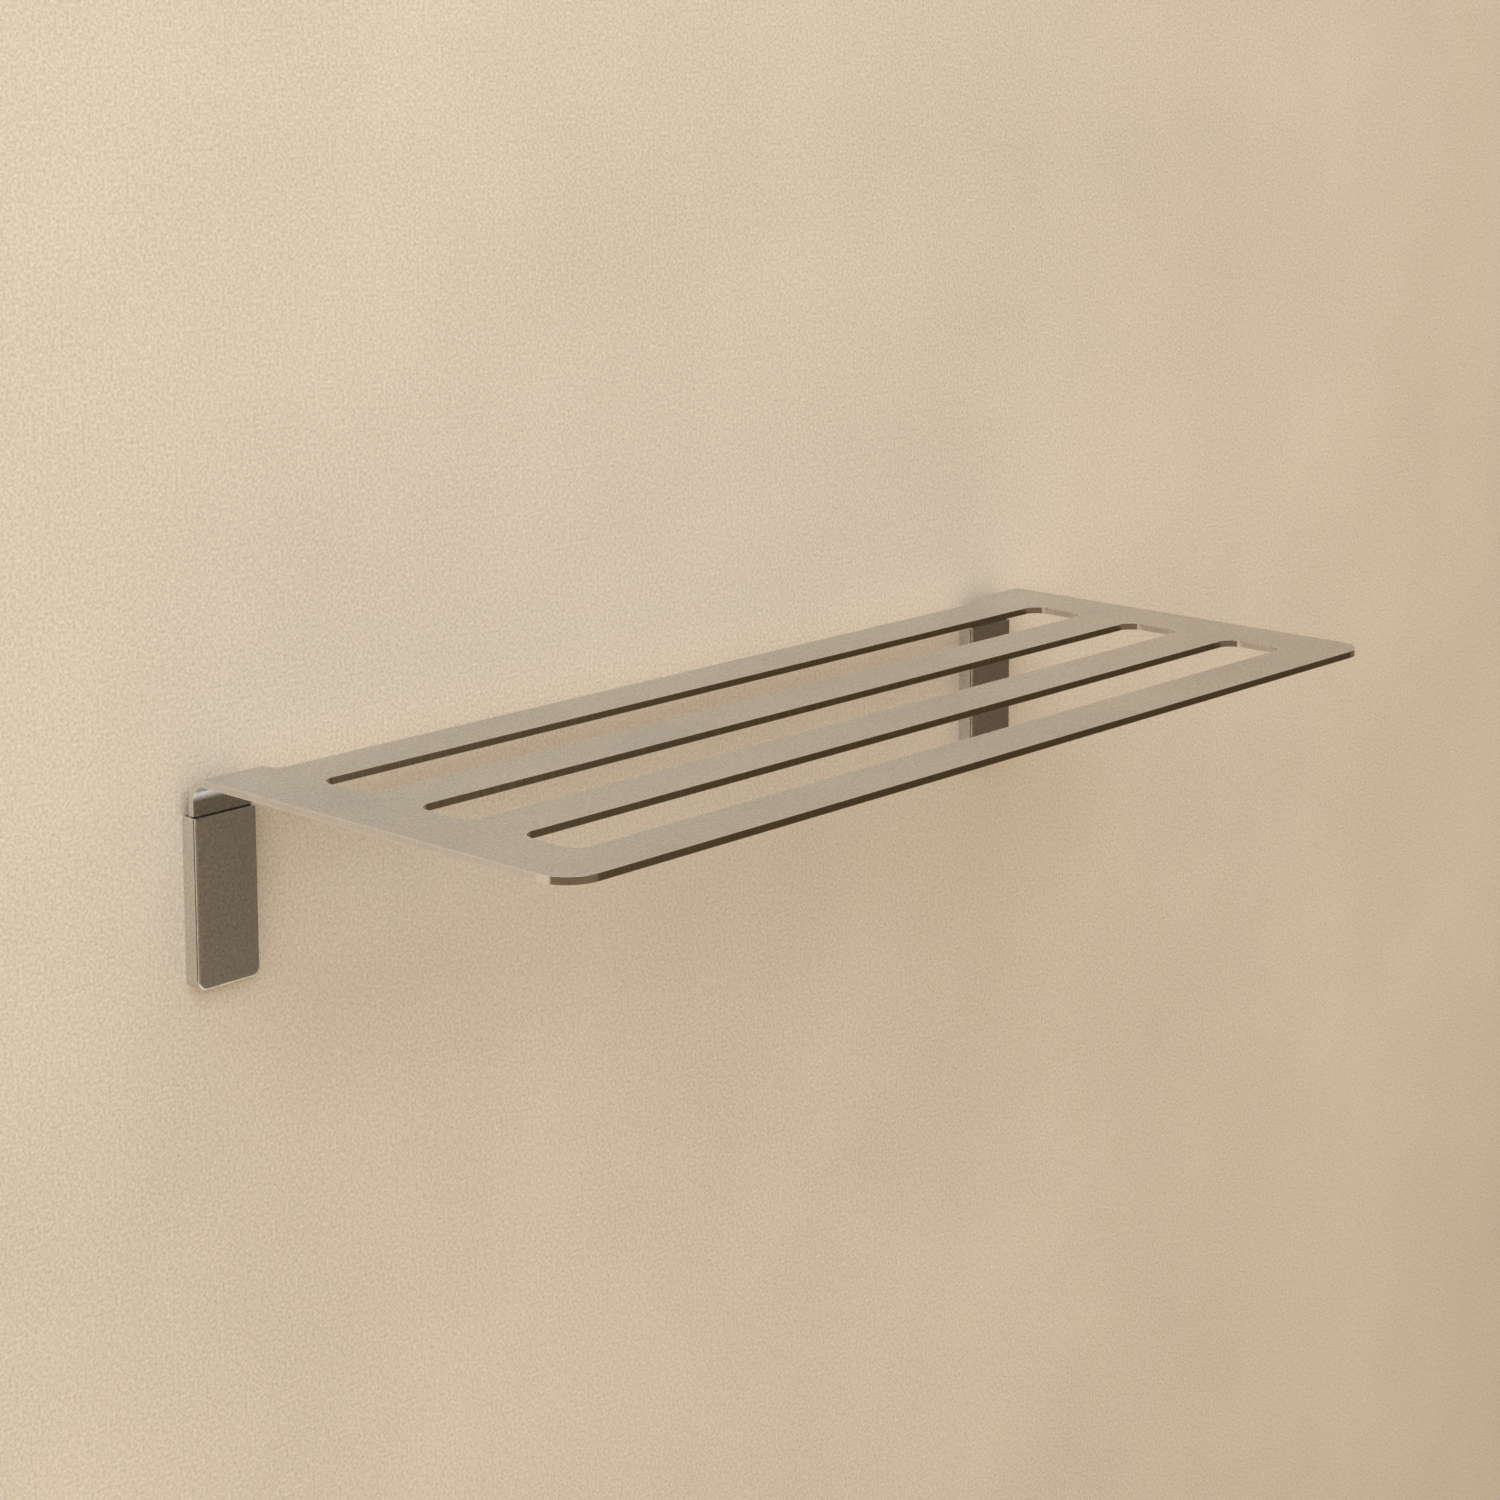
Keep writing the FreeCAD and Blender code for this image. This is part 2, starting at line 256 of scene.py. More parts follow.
world = bpy.data.worlds.new("room")
scene.world = world
world.use_nodes = True
tree = world.node_tree
way = add_node(tree, "ShaderNodeTexCoord").outputs["Generated"]
parts = add_node(tree, "ShaderNodeSeparateXYZ", sockets={"Vector": way})
into_room = remap(tree, parts.outputs["Y"], 0.05, 0.25, 1, 0)
above_floor = remap(tree, parts.outputs["Z"], -0.62, -0.33, 0, 1)
below_ceiling = remap(tree, parts.outputs["Z"], 0.25, 0.55, 1, 0)
on_walls = calculate(tree, "MULTIPLY", calculate(tree, "MULTIPLY", into_room, above_floor), below_ceiling)
towards_dark = add_node(tree, "ShaderNodeVectorMath", {"operation": "DOT_PRODUCT"}, {
    0: way, 1: DARK_SIDE}).outputs["Value"]
room_walls = mix_colours(tree, remap(tree, towards_dark, 0.965, 0.996, 0, 1), ROOM_BROWN, ROOM_DARK)
on_floor = remap(tree, parts.outputs["Z"], -0.72, -0.62, 1, 0)
far_room = mix_colours(tree, on_walls, ROOM_PALE, room_walls)
mirrored = mix_colours(tree, on_floor, far_room, ROOM_FLOOR)
ray = add_node(tree, "ShaderNodeLightPath")
room = mix_colours(tree, ray.outputs["Is Glossy Ray"], ROOM_FILL, mirrored)
background = mix_colours(tree, ray.outputs["Is Camera Ray"], room, ROOM_BACKGROUND)
tree.links.new(background, tree.nodes["Background"].inputs["Color"])


# ---------------------------------------------------------------------------------------
# Shelf: one 3.5 mm stainless sheet, cut flat with its slots, tabs and screw holes, eased on
# every edge, then bent down through a quarter turn at each tab. Satin ground, with finer cut
# edges. The tongues that the covers hide are coloured near black, as painted shade for the
# dark gap seen between each leg and its cover.
# ---------------------------------------------------------------------------------------
SHELF_LENGTH = 600 * MM
SHEET = 3.5 * MM
SHELF_TOP = 58.6 * MM
REAR_GAP = 24.8 * MM
BAR_COUNT = 4
BAR_WIDTH = 31.2 * MM
SLOT_WIDTH = 35.7 * MM
FRONT_CORNER = 18.0 * MM
SLOT_CORNER = 8.5 * MM
NOTCH_CORNER = 7.3 * MM
TAB_WIDTH = 35.2 * MM
TONGUE_WIDTH = 30.0 * MM
TONGUE_CORNER = 4.0 * MM
TONGUE_ROOT = 0.8 * MM
# The near-black painted shade on each tongue starts this far below its shoulder.
TONGUE_SHADE_START = 0.1 * MM
BEND_START = -17.5 * MM
BEND_OUTER = 12.0 * MM
BEND_STEPS = 18
BEND_RUN = 16.0 * MM
LEG_DROP = 6.6 * MM
TONGUE_DROP = 74.0 * MM
CLAMP_HEIGHTS = (13.0 * MM, -13.0 * MM)
CLAMP_HOLE = 2.05 * MM
CLAMP_SEAT = 3.85 * MM
SHEET_EASE = 0.30 * MM
SHEET_WEAR = 1.2 * MM
SHEET_BROAD_FLAT = 20 * MM * MM
GRAIN_SHADE = 0.68
GRAIN_DEPTH = 0.02 * MM
SHARP_ANGLE = 50
NEAR = 0.01 * MM
SIDES = {"left": -1, "right": 1}
WEAR_LAYER = "edge_wear"


def start_mesh():
    """An empty mesh that can carry the wear on its edges."""
    bm = bmesh.new()
    bm.verts.layers.float.new(WEAR_LAYER)
    return bm


def round_corner(bm, corner, radius, segments=10):
    """Round one corner of a flat outline."""
    bmesh.ops.bevel(
        bm, geom=[corner], affect="VERTICES", offset=radius, offset_type="OFFSET",
        segments=segments, profile=0.5, material=-1, clamp_overlap=False)


def add_outline(bm, corners, level=0.0):
    """Closed outline in the flat, from corners given as (x, y, radius)."""
    points = [bm.verts.new((x, y, level)) for x, y, radius in corners]
    bm.faces.new(points)
    for point, (x, y, radius) in zip(points, corners):
        if radius:
            round_corner(bm, point, radius)


def add_round_hole(bm, x, y, radius, level=0.0, segments=32):
    """Outline of a round hole in the flat."""
    bmesh.ops.create_circle(
        bm, cap_ends=True, segments=segments, radius=radius,
        matrix=Matrix.Translation((x, y, level)))


def fill_between_outlines(bm):
    """Sheet between the outer outline and those inside it."""
    bmesh.ops.delete(bm, geom=bm.faces[:], context="FACES_ONLY")
    bmesh.ops.triangle_fill(bm, use_beauty=True, edges=bm.edges[:], normal=(0, 0, 1))


def thicken(bm, faces, thickness):
    """Solid of that thickness above flat faces, which stay as its underside."""
    grown = bmesh.ops.extrude_face_region(bm, geom=faces, use_keep_orig=True)
    lifted = [item for item in grown["geom"] if isinstance(item, bmesh.types.BMVert)]
    bmesh.ops.translate(bm, verts=lifted, vec=(0, 0, thickness))
    bmesh.ops.recalc_face_normals(bm, faces=bm.faces[:])


def draw_out(bm, faces, move):
    """Pull some faces of a solid out, or push them in, with new walls round them."""
    grown = bmesh.ops.extrude_face_region(bm, geom=faces)
    moved = [item for item in grown["geom"] if isinstance(item, bmesh.types.BMVert)]
    bmesh.ops.translate(bm, verts=moved, vec=move)
    bmesh.ops.delete(bm, geom=faces, context="FACES")
    bmesh.ops.recalc_face_normals(bm, faces=bm.faces[:])


def cut_faces(bm, faces, place, across):
    """Part some of the faces along a plane."""
    geometry = set(faces)
    for face in faces:
        geometry.update(face.edges)
        geometry.update(face.verts)
    bmesh.ops.bisect_plane(
        bm, geom=list(geometry), dist=NEAR / 100, plane_co=place, plane_no=across)


def countersink(bm, x, y, hole, seat, face_level, depth_level):
    """Open one end of a round hole to a 90 degree seat."""
    centre = Vector((x, y, 0))

    def around(item_centre):
        return (Vector((item_centre.x, item_centre.y, 0)) - centre).length < hole + NEAR

    wall = [face for face in bm.faces if all(around(v.co) for v in face.verts)]
    cut_faces(bm, wall, (0, 0, depth_level), (0, 0, 1))
    mouth = [v for v in bm.verts if around(v.co) and abs(v.co.z - face_level) < NEAR]
    bmesh.ops.scale(
        bm, verts=mouth, vec=(seat / hole, seat / hole, 1), space=Matrix.Translation(-centre))


def ease_edges(bm, width, segments=2, least_angle=60, chosen=None):
    """Break the sharp edges. Gives the faces made, the places where a finish wears."""
    sharp = [
        edge for edge in bm.edges
        if len(edge.link_faces) == 2 and edge.calc_face_angle() > math.radians(least_angle)
        and (chosen is None or chosen(edge))]
    eased = bmesh.ops.bevel(
        bm, geom=sharp, affect="EDGES", offset=width, offset_type="OFFSET",
        segments=segments, profile=0.5, material=-1, clamp_overlap=True)
    return set(eased["faces"])


def keep_wear_to_edges(bm, eased, margin, least_area):
    """Ring of faces round each broad flat, so that the wear stays near its edges."""
    eased = {face for face in eased if face.is_valid}
    rims = {vert for face in eased for vert in face.verts}
    bm.normal_update()
    flats = {}
    for face in bm.faces:
        if face not in eased:
            direction = tuple(round(part, 2) + 0.0 for part in face.normal)
            level = round(face.normal.dot(face.calc_center_median()) / MM, 1)
            flats.setdefault((direction, level), []).append(face)
    for faces in flats.values():
        beside_rim = any(vert in rims for face in faces for vert in face.verts)
        if beside_rim and sum(face.calc_area() for face in faces) > least_area:
            bmesh.ops.inset_region(
                bm, faces=faces, thickness=margin, use_boundary=True, use_even_offset=True)
    layer = bm.verts.layers.float[WEAR_LAYER]
    for vert in bm.verts:
        vert[layer] = 1.0 if any(face in eased for face in vert.link_faces) else 0.0


def finish_piece(name, bm, materials, body, nodes):
    """Make the piece, shade it smooth between its edges, and tie it to the frame."""
    for face in bm.faces:
        face.smooth = True
    for edge in bm.edges:
        edge.smooth = edge.calc_face_angle() < math.radians(SHARP_ANGLE)
    mesh = bpy.data.meshes.new(name)
    bm.to_mesh(mesh)
    bm.free()
    for material in materials:
        mesh.materials.append(material)
    piece = bpy.data.objects.new(name, mesh)
    scene.collection.objects.link(piece)
    shading = piece.modifiers.new("shading", "WEIGHTED_NORMAL")
    shading.keep_sharp = True
    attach(piece, body)
    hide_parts(*nodes)
    return piece


def start_group(name, inputs, outputs):
    """A node group with its named sockets. Inputs are given as (name, kind, value)."""
    group = bpy.data.node_groups.new(name, "ShaderNodeTree")
    for label, kind, value in inputs:
        socket = group.interface.new_socket(label, in_out="INPUT", socket_type=kind)
        if value is not None:
            socket.default_value = value
    for label in outputs:
        group.interface.new_socket(label, in_out="OUTPUT", socket_type="NodeSocketFloat")
    return group, group.nodes.new("NodeGroupInput"), group.nodes.new("NodeGroupOutput")


# Fine ground grain and slow unevenness of a satin metal.
satin_group, given, made = start_group(
    "satin_grain",
    [("Place", "NodeSocketVector", None), ("Grain Scale", "NodeSocketFloat", 2600.0),
     ("Cloud Scale", "NodeSocketFloat", 14.0)],
    ["Grain", "Cloud"])
grain = noise(satin_group, given.outputs["Place"], 1.0, 2.0, 0.6)
satin_group.links.new(given.outputs["Grain Scale"], grain.node.inputs["Scale"])
cloud = noise(satin_group, given.outputs["Place"], 1.0, 3.0, 0.55)
satin_group.links.new(given.outputs["Cloud Scale"], cloud.node.inputs["Scale"])
satin_group.links.new(remap(satin_group, grain, 0.30, 0.70, 0, 1), made.inputs["Grain"])
satin_group.links.new(remap(satin_group, cloud, 0.3, 0.7, 0, 1), made.inputs["Cloud"])

# Wear along the eased edges, broken up so that it isn't an even line.
wear_group, given, made = start_group(
    "edge_wear",
    [("Place", "NodeSocketVector", None), ("Edge", "NodeSocketFloat", 0.0),
     ("Breakup Scale", "NodeSocketFloat", 120.0)],
    ["Wear"])
breakup = noise(wear_group, given.outputs["Place"], 1.0, 4.0, 0.6)
wear_group.links.new(given.outputs["Breakup Scale"], breakup.node.inputs["Scale"])
near_edge = remap(wear_group, given.outputs["Edge"], 0.35, 1.0, 0, 1)
patchy = remap(wear_group, breakup, 0.35, 0.65, 0.25, 1)
wear_group.links.new(calculate(wear_group, "MULTIPLY", near_edge, patchy), made.inputs["Wear"])


def satin_metal(name, colour, worn_colour, roughness, grain_scale, grain_stretch, relief, spread):
    """Ground metal: grain in its roughness and relief, faint clouding, brighter worn edges."""
    material, tree, shader = start_material(name)
    place = object_coordinates(tree)
    grain_place = object_coordinates(tree, grain_stretch)
    satin = add_node(tree, "ShaderNodeGroup", {"node_tree": satin_group}, {
        "Place": grain_place, "Grain Scale": grain_scale, "Cloud Scale": 14.0})
    edge = add_node(tree, "ShaderNodeAttribute", {"attribute_name": WEAR_LAYER})
    wear = add_node(tree, "ShaderNodeGroup", {"node_tree": wear_group}, {
        "Place": place, "Edge": edge.outputs["Fac"], "Breakup Scale": 140.0})
    darker = tuple(part * GRAIN_SHADE for part in colour[:3]) + (1,)
    ground = mix_colours(tree, satin.outputs["Grain"], darker, colour)
    clouded = mix_colours(tree, remap(tree, satin.outputs["Cloud"], 0, 1, 0, 0.5), ground, darker)
    worn = mix_colours(tree, wear.outputs["Wear"], clouded, worn_colour)
    tree.links.new(worn, shader.inputs["Base Color"])
    uneven = blend_values(tree, satin.outputs["Grain"], satin.outputs["Cloud"], 0.3)
    matt = remap(tree, uneven, 0, 1, roughness - spread, roughness + spread)
    polished = calculate(tree, "MULTIPLY", wear.outputs["Wear"], 0.25)
    keep = calculate(tree, "SUBTRACT", 1.0, polished)
    tree.links.new(calculate(tree, "MULTIPLY", matt, keep), shader.inputs["Roughness"])
    shader.inputs["Metallic"].default_value = 1.0
    raise_surface(tree, shader, satin.outputs["Grain"], relief, GRAIN_DEPTH)
    return material


satin_steel = satin_metal(
    "satin_steel", (0.745, 0.755, 0.77, 1), (0.86, 0.86, 0.86, 1),
    roughness=0.27, grain_scale=650.0, grain_stretch=(1, 1, 1), relief=0.30, spread=0.06)
cut_edge = satin_metal(
    "cut_edge", (0.87, 0.87, 0.875, 1), (0.88, 0.87, 0.85, 1),
    roughness=0.16, grain_scale=1200.0, grain_stretch=(1, 1, 0.12), relief=0.2, spread=0.04)
# Near-black steel for the hidden tongues: painted shade for the shade in the gap between each leg and its
# cover.
painted_shade_tongue = satin_metal(
    "painted_shade_tongue", (0.15, 0.14, 0.13, 1), (0.30, 0.29, 0.28, 1),
    roughness=0.55, grain_scale=1500.0, grain_stretch=(1, 1, 1), relief=0.3, spread=0.08)

shelf_half = SHELF_LENGTH / 2
tab_inner = shelf_half - TAB_WIDTH
tab_centre = shelf_half - TAB_WIDTH / 2
shelf_front = -(REAR_GAP + BAR_COUNT * BAR_WIDTH + (BAR_COUNT - 1) * SLOT_WIDTH)
bend_finish = BEND_START + BEND_RUN
shoulder = bend_finish + LEG_DROP
tongue_end = shoulder + TONGUE_DROP
bend_centre_z = SHELF_TOP - BEND_OUTER


def tab_corners(sign):
    """Corners of one flat tab, from the shelf's outer side round to its rear edge."""
    return [
        (sign * shelf_half, shoulder, 0),
        (sign * (tab_centre + TONGUE_WIDTH / 2), shoulder, TONGUE_ROOT),
        (sign * (tab_centre + TONGUE_WIDTH / 2), tongue_end, TONGUE_CORNER),
        (sign * (tab_centre - TONGUE_WIDTH / 2), tongue_end, TONGUE_CORNER),
        (sign * (tab_centre - TONGUE_WIDTH / 2), shoulder, TONGUE_ROOT),
        (sign * tab_inner, shoulder, 0),
        (sign * tab_inner, -REAR_GAP, NOTCH_CORNER)]


def height_in_the_flat(height):
    """Where a height on the upright tongue lies before the tab is bent."""
    return bend_finish + (bend_centre_z - height)


bm = start_mesh()
blank_low = SHELF_TOP - SHEET
add_outline(bm, [(-shelf_half, shelf_front, FRONT_CORNER), (shelf_half, shelf_front, FRONT_CORNER)]
            + tab_corners(1) + tab_corners(-1)[::-1], blank_low)
for index in range(BAR_COUNT - 1):
    rear = -(REAR_GAP + BAR_WIDTH + index * (BAR_WIDTH + SLOT_WIDTH))
    add_outline(bm, [
        (x, y, SLOT_CORNER) for x, y in (
            (-tab_inner, rear), (-tab_inner, rear - SLOT_WIDTH),
            (tab_inner, rear - SLOT_WIDTH), (tab_inner, rear))], blank_low)
for sign in SIDES.values():
    for height in CLAMP_HEIGHTS:
        add_round_hole(bm, sign * tab_centre, height_in_the_flat(height), CLAMP_HOLE, blank_low)
fill_between_outlines(bm)
thicken(bm, bm.faces[:], SHEET)
for sign in SIDES.values():
    for height in CLAMP_HEIGHTS:
        countersink(
            bm, sign * tab_centre, height_in_the_flat(height), CLAMP_HOLE, CLAMP_SEAT,
            blank_low, blank_low + CLAMP_SEAT - CLAMP_HOLE)
for face in bm.faces:
    face.material_index = 0 if abs(face.normal.z) > 0.5 else 1
eased = ease_edges(bm, SHEET_EASE)
keep_wear_to_edges(bm, eased, SHEET_WEAR, SHEET_BROAD_FLAT)
# Past the shoulder, the tongue takes the near-black painted shade.
bmesh.ops.bisect_plane(
    bm, geom=bm.verts[:] + bm.edges[:] + bm.faces[:], dist=NEAR / 10,
    plane_co=(0, shoulder + TONGUE_SHADE_START, 0), plane_no=(0, 1, 0))
for face in bm.faces:
    if face.calc_center_median().y > shoulder + TONGUE_SHADE_START:
        face.material_index = 2
sections = []
for step in range(BEND_STEPS + 1):
    line = BEND_START + BEND_RUN * step / BEND_STEPS
    bmesh.ops.bisect_plane(
        bm, geom=bm.verts[:] + bm.edges[:] + bm.faces[:], dist=NEAR / 10,
        plane_co=(0, line, 0), plane_no=(0, 1, 0))
for step in range(1, BEND_STEPS + 1):
    line = BEND_START + BEND_RUN * step / BEND_STEPS
    last = step == BEND_STEPS
    sections.append([
        vert for vert in bm.verts
        if abs(vert.co.y - line) < NEAR or (last and vert.co.y > line)])
for step, section in enumerate(sections, start=1):
    run = BEND_RUN * step / BEND_STEPS
    turn = Matrix.Rotation(-math.radians(90) * step / BEND_STEPS, 3, "X")
    bmesh.ops.translate(bm, verts=section, vec=(0, -run, 0))
    bmesh.ops.rotate(bm, verts=section, cent=(0, BEND_START, bend_centre_z), matrix=turn)
finish_piece("shelf_sheet", bm, [satin_steel, cut_edge, painted_shade_tongue], "rack", ["shelf_panel"])


# ---------------------------------------------------------------------------------------
# Wall plates: 5.5 mm zinc plated steel, one behind each tongue, screwed flat on the wall.
# Their back edges are rebated for the cover's lips, and the holes are drilled and countersunk.
# ---------------------------------------------------------------------------------------
PLATE_WIDTH = 32.9 * MM
PLATE_THICKNESS = 5.5 * MM
PLATE_TOP = 39.0 * MM
PLATE_BOTTOM = -40.4 * MM
PLATE_CORNER = 3.5 * MM
REBATE_WIDTH = 1.35 * MM
REBATE_DEPTH = 1.15 * MM
WALL_SCREW_HEIGHTS = {"upper": 25.0 * MM, "lower": -25.0 * MM}
WALL_SCREW_HOLE = 2.3 * MM
WALL_SCREW_SEAT = 4.25 * MM
COVER_SCREW_DEPTH = 3.0 * MM
COVER_SCREW_HOLE = 1.55 * MM
COVER_SCREW_HOLE_LENGTH = 8.0 * MM
PLATE_EASE = 0.25 * MM
PLATE_WEAR = 0.8 * MM
PLATE_BROAD_FLAT = 150 * MM * MM
CRYSTAL_SHADE = 0.86
BARE_STEEL = (0.78, 0.78, 0.77, 1)
HOLE_FACETS = 32


def plated_metal(name, colour, tint, roughness, grain_scale):
    """Zinc plating: fine crystal grain, a patchy passivation tint and bright worn edges."""
    material, tree, shader = start_material(name)
    place = object_coordinates(tree)
    satin = add_node(tree, "ShaderNodeGroup", {"node_tree": satin_group}, {
        "Place": place, "Grain Scale": grain_scale, "Cloud Scale": 90.0})
    edge = add_node(tree, "ShaderNodeAttribute", {"attribute_name": WEAR_LAYER})
    wear = add_node(tree, "ShaderNodeGroup", {"node_tree": wear_group}, {
        "Place": place, "Edge": edge.outputs["Fac"], "Breakup Scale": 400.0})
    tinted = mix_colours(tree, satin.outputs["Cloud"], colour, tint)
    crystal = add_node(tree, "ShaderNodeTexVoronoi", sockets={
        "Vector": place, "Scale": grain_scale * 0.35}).outputs["Distance"]
    darker = tuple(part * CRYSTAL_SHADE for part in colour[:3]) + (1,)
    ground = mix_colours(tree, remap(tree, crystal, 0.1, 0.7, 0, 0.8), tinted, darker)
    worn = mix_colours(tree, wear.outputs["Wear"], ground, BARE_STEEL)
    tree.links.new(worn, shader.inputs["Base Color"])
    tree.links.new(
        remap(tree, satin.outputs["Grain"], 0, 1, roughness - 0.08, roughness + 0.08),
        shader.inputs["Roughness"])
    shader.inputs["Metallic"].default_value = 1.0
    raise_surface(tree, shader, satin.outputs["Grain"], 0.35, GRAIN_DEPTH)
    return material


def lay_against_wall(bm, centre_x):
    """Turn a piece made flat so that its upper face looks into the room."""
    bmesh.ops.rotate(bm, verts=bm.verts[:], matrix=Matrix.Rotation(math.radians(90), 3, "X"))
    bmesh.ops.translate(bm, verts=bm.verts[:], vec=(centre_x, 0, 0))


def drill(bm, face, centre, axis_turn, radius, facets):
    """Open a round hole in one flat face. Gives the edges of the hole's rim."""
    outline = face.edges[:]
    normal = face.normal.copy()
    bmesh.ops.delete(bm, geom=[face], context="FACES_ONLY")
    rim = add_ring(bm, radius, centre, axis_turn, facets)
    bmesh.ops.triangle_fill(bm, use_beauty=True, edges=outline + rim, normal=normal)
    return rim


def add_ring(bm, radius, centre, axis_turn, facets):
    """Open ring of edges. The turn takes +Z to the ring's axis."""
    ring = bmesh.ops.create_circle(
        bm, cap_ends=False, segments=facets, radius=radius,
        matrix=Matrix.Translation(centre) @ axis_turn)
    edges = set()
    for vert in ring["verts"]:
        edges.update(vert.link_edges)
    return list(edges)


def join_rings(bm, rings):
    """Walls between each ring and the next."""
    for first, second in zip(rings, rings[1:]):
        bmesh.ops.bridge_loops(bm, edges=first + second)


def flat_face_at(bm, x, y, z):
    """The face whose plane and outline hold the point."""
    point = Vector((x, y, z))
    for face in bm.faces:
        if abs((point - face.verts[0].co).dot(face.normal)) < NEAR:
            if bmesh.geometry.intersect_face_point(face, point):
                return face
    raise ValueError("no face there")


zinc_plate = plated_metal("zinc_plate", (0.50, 0.51, 0.53, 1), (0.55, 0.53, 0.48, 1), 0.36, 1600.0)
ALONG_HEIGHT = Matrix.Rotation(math.radians(-90), 4, "X")

for side, sign in SIDES.items():
    centre_x = sign * tab_centre
    half = PLATE_WIDTH / 2
    bm = start_mesh()
    add_outline(bm, [
        (-half, PLATE_BOTTOM, PLATE_CORNER), (half, PLATE_BOTTOM, PLATE_CORNER),
        (half, PLATE_TOP, 0), (-half, PLATE_TOP, 0)], REBATE_DEPTH)
    for height in WALL_SCREW_HEIGHTS.values():
        add_round_hole(bm, 0, height, WALL_SCREW_HOLE, REBATE_DEPTH, HOLE_FACETS)
    for height in CLAMP_HEIGHTS:
        add_round_hole(bm, 0, height, CLAMP_HOLE, REBATE_DEPTH, HOLE_FACETS)
    fill_between_outlines(bm)
    thicken(bm, bm.faces[:], PLATE_THICKNESS - REBATE_DEPTH)
    for rebate_x in (-half + REBATE_WIDTH, half - REBATE_WIDTH):
        back = [face for face in bm.faces if all(vert.co.z < REBATE_DEPTH + NEAR for vert in face.verts)]
        cut_faces(bm, back, (rebate_x, 0, 0), (1, 0, 0))
    back = [
        face for face in bm.faces
        if all(vert.co.z < REBATE_DEPTH + NEAR for vert in face.verts)
        and abs(face.calc_center_median().x) < half - REBATE_WIDTH]
    draw_out(bm, back, (0, 0, -REBATE_DEPTH))
    for height in WALL_SCREW_HEIGHTS.values():
        countersink(
            bm, 0, height, WALL_SCREW_HOLE, WALL_SCREW_SEAT,
            PLATE_THICKNESS, PLATE_THICKNESS - (WALL_SCREW_SEAT - WALL_SCREW_HOLE))
    base = flat_face_at(bm, 0, PLATE_BOTTOM, COVER_SCREW_DEPTH)
    mouth = drill(
        bm, base, (0, PLATE_BOTTOM, COVER_SCREW_DEPTH), ALONG_HEIGHT, COVER_SCREW_HOLE, HOLE_FACETS)
    bottom = add_ring(
        bm, COVER_SCREW_HOLE, (0, PLATE_BOTTOM + COVER_SCREW_HOLE_LENGTH, COVER_SCREW_DEPTH),
        ALONG_HEIGHT, HOLE_FACETS)
    join_rings(bm, [mouth, bottom])
    bmesh.ops.edgeloop_fill(bm, edges=bottom)
    bmesh.ops.recalc_face_normals(bm, faces=bm.faces[:])
    eased = ease_edges(bm, PLATE_EASE, chosen=lambda edge: all(
        abs(abs(vert.co.x) - half) < NEAR or vert.co.y > PLATE_TOP - NEAR
        or vert.co.y < PLATE_BOTTOM + PLATE_CORNER for vert in edge.verts)
        and all(vert.co.z > PLATE_THICKNESS - NEAR for vert in edge.verts))
    keep_wear_to_edges(bm, eased, PLATE_WEAR, PLATE_BROAD_FLAT)
    lay_against_wall(bm, centre_x)
    finish_piece(side + "_plate", bm, [zinc_plate], "rack", [side + "_wall_plate"])


# ---------------------------------------------------------------------------------------
# Covers: slim folded and welded steel cases with 1 mm walls, ground to the shelf's satin.
# Each slides up from below on the lips at its back, and its base has a seat for one screw.
# ---------------------------------------------------------------------------------------
COVER_WIDTH = 35.2 * MM
COVER_DEPTH = 10.2 * MM
COVER_TOP = 39.0 * MM
COVER_BOTTOM = -42.9 * MM
COVER_WALL = 1.0 * MM
COVER_BASE = 2.2 * MM
COVER_CORNER = 4.5 * MM
COVER_EDGE = 0.8 * MM
COVER_TOP_EASE = 0.12 * MM
COVER_WEAR = 0.8 * MM
COVER_BROAD_FLAT = 500 * MM * MM
LIP_WIDTH = 1.2 * MM
LIP_BOTTOM = -36.2 * MM
COVER_SEAT_HOLE = 1.7 * MM
COVER_SEAT_MOUTH = 2.95 * MM

satin_cover = satin_metal(
    "satin_cover", (0.88, 0.865, 0.84, 1), (0.95, 0.94, 0.92, 1),
    roughness=0.34, grain_scale=700.0, grain_stretch=(1, 1, 1), relief=0.30, spread=0.06)


def hollow_wall(bm, wall_x):
    """The faces of the cover's hollow that stand at one distance from its middle."""
    return [face for face in bm.faces if all(abs(vert.co.x - wall_x) < NEAR for vert in face.verts)]


